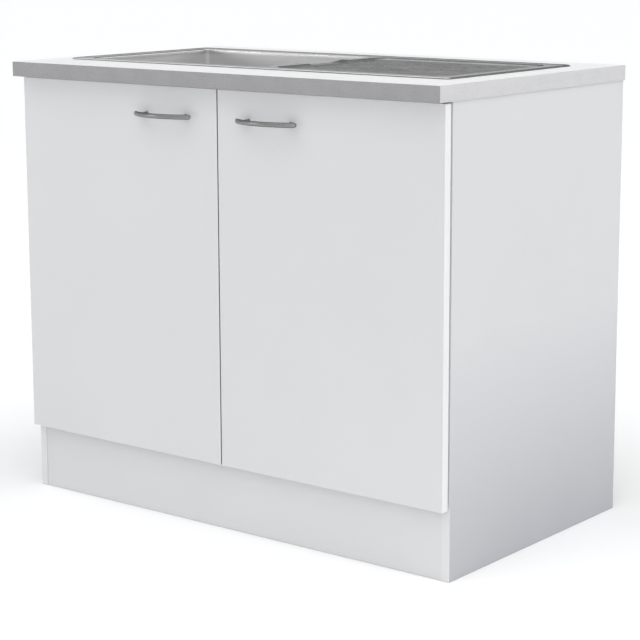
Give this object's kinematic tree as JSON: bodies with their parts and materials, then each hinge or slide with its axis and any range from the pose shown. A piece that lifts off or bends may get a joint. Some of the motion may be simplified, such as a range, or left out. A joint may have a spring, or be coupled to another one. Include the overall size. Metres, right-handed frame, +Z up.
{
  "type": "kitchen sink unit",
  "caption": "Free-standing white kitchen sink base cabinet with hinged doors, bow handles, grey worktop, inset steel sink with drainer, strainer waste, overflow and trap.",
  "frame": {"origin": "on the floor, under the middle of the worktop", "axes": "+X to the right along the worktop's length, +Y to the back (the wall side), +Z up; the doors face -Y"},
  "size_m": [1, 0.6112, 0.853],
  "materials": {
    "white_board": "white melamine film, faint print texture, satin",
    "raw_chipboard": "pressed chips, matt",
    "worktop_laminate": "light grey mottled laminate, satin",
    "worktop_edge": "mid grey mottled edge band, matt",
    "stainless_steel": "brushed stainless sheet",
    "satin_steel": "satin nickel, brushed along the bar",
    "zinc_steel": "bright zinc plate",
    "nickel_hinge": "nickel plate",
    "zinc_cast": "cast zinc, matt",
    "beech_dowel": "fluted beech, matt",
    "grey_foam": "closed cell foam",
    "black_rubber": "moulded rubber, matt",
    "clear_pad": "translucent soft pad",
    "white_plastic": "moulded plastic, semi gloss",
    "grey_hose": "ribbed plastic hose",
    "chrome_trim": "polished steel"
  },
  "bodies": {
    "cabinet": {"left_side_panel": "white_board", "right_side_panel": "white_board", "bottom_panel": "white_board", "plinth_board": "white_board", "front_top_rail": "white_board", "rear_top_rail": "white_board", "rear_bottom_rail": "white_board", "dowels": "beech_dowel", "cam_discs": "zinc_cast", "cam_bolts": "zinc_steel", "cabinet_screws": "zinc_steel", "worktop_core": "raw_chipboard", "worktop_laminate": "worktop_laminate", "worktop_front_band": "worktop_edge", "worktop_left_band": "worktop_edge", "worktop_right_band": "worktop_edge", "worktop_brackets": "zinc_steel", "sink_deck": "stainless_steel", "sink_bowl": "stainless_steel", "sink_seal": "grey_foam", "sink_clips": "zinc_steel", "sink_clip_screws": "zinc_steel", "strainer_cup": "chrome_trim", "waste_gasket": "black_rubber", "waste_housing": "white_plastic", "waste_screw": "chrome_trim", "overflow_plate": "chrome_trim", "overflow_screw": "chrome_trim", "overflow_gasket": "black_rubber", "overflow_elbow": "white_plastic", "overflow_hose": "grey_hose", "tail_pipe": "white_plastic", "trap_bend": "white_plastic", "outlet_pipe": "white_plastic", "trap_union_nuts": "white_plastic", "trap_seal_rings": "black_rubber", "hinge_arm_screws": "zinc_steel", "left_hinge_arms": "nickel_hinge", "right_hinge_arms": "nickel_hinge", "left_hinge_plates": "nickel_hinge", "right_hinge_plates": "nickel_hinge"},
    "left_door": {"left_door": "white_board", "left_handle": "satin_steel", "left_handle_screws": "zinc_steel", "left_bumpers": "clear_pad", "left_hinge_cups": "nickel_hinge", "left_hinge_pins": "zinc_steel", "left_cup_screws": "zinc_steel"},
    "right_door": {"right_door": "white_board", "right_handle": "satin_steel", "right_handle_screws": "zinc_steel", "right_bumpers": "clear_pad", "right_hinge_cups": "nickel_hinge", "right_hinge_pins": "zinc_steel", "right_cup_screws": "zinc_steel"},
    "strainer_basket": {"basket": "chrome_trim", "basket_stopper": "black_rubber", "basket_knob": "chrome_trim"}
  },
  "joints": [
    {"name": "left_door_hinge", "type": "hinge", "parent": "cabinet", "child": "left_door", "pos_m": [-0.4885, -0.269, 0.473], "axis": [0, 0, -1], "range_deg": [0, 95]},
    {"name": "right_door_hinge", "type": "hinge", "parent": "cabinet", "child": "right_door", "pos_m": [0.4885, -0.269, 0.473], "axis": [0, 0, 1], "range_deg": [0, 95]},
    {"name": "basket_lift", "type": "slide", "parent": "cabinet", "child": "strainer_basket", "axis": [0, 0, 1], "range_m": [0, 0.06]}
  ]
}
